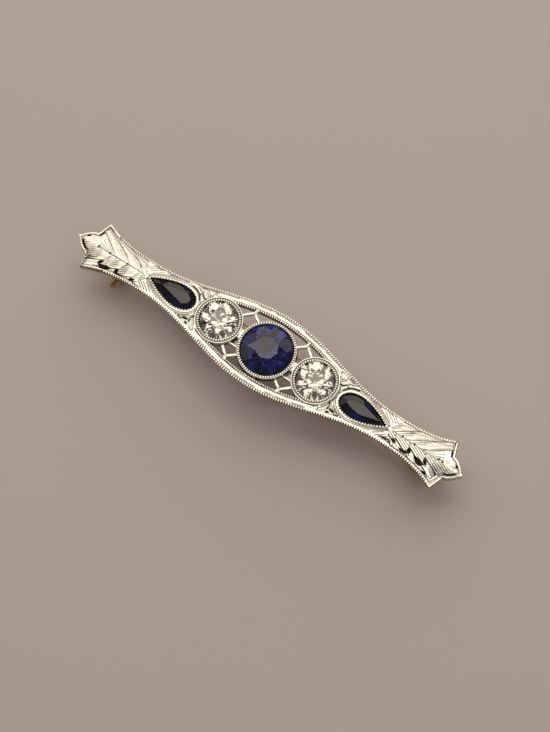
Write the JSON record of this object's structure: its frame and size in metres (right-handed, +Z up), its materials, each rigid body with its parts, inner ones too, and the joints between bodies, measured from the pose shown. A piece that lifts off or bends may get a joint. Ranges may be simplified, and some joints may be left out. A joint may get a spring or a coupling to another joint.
{
  "type": "bar brooch",
  "caption": "Slim pierced bar brooch with round and pear-shaped stones in millegrained collets, leaf-shaped ends, a hinged pin and a turning safety catch.",
  "frame": {"origin": "centre of the footprint, on the surface that the brooch lies on", "axes": "+X along the bar towards the hinge end, +Y across it, +Z up out of the set face"},
  "size_m": [0.057, 0.0104, 0.0082],
  "materials": {
    "white_metal": "polished platinum-like white metal, bright-cut and millegrained",
    "yellow_gold": "polished yellow gold",
    "blue_sapphire": "faceted, polished, mid to deep blue",
    "dark_sapphire": "faceted, polished, very dark blue",
    "diamond": "faceted, polished, colourless"
  },
  "bodies": {
    "brooch": {"white_mount": "white_metal", "gold_back": "yellow_gold", "hinge_rivet": "yellow_gold", "sapphire_center": "blue_sapphire", "diamond_left": "diamond", "diamond_right": "diamond", "sapphire_pear_left": "dark_sapphire", "sapphire_pear_right": "dark_sapphire"},
    "pin": {"pin_stem": "yellow_gold"},
    "lever": {"catch_lever": "yellow_gold"}
  },
  "joints": [
    {"name": "pin_hinge", "type": "hinge", "parent": "brooch", "child": "pin", "pos_m": [0.0232, 0, 0.0014], "axis": [0, -1, 0], "range_deg": [0, 80]},
    {"name": "catch_turn", "type": "hinge", "parent": "brooch", "child": "lever", "pos_m": [-0.0224, 0, 0.0014], "axis": [-1, 0, 0], "range_deg": [0, 60]}
  ]
}
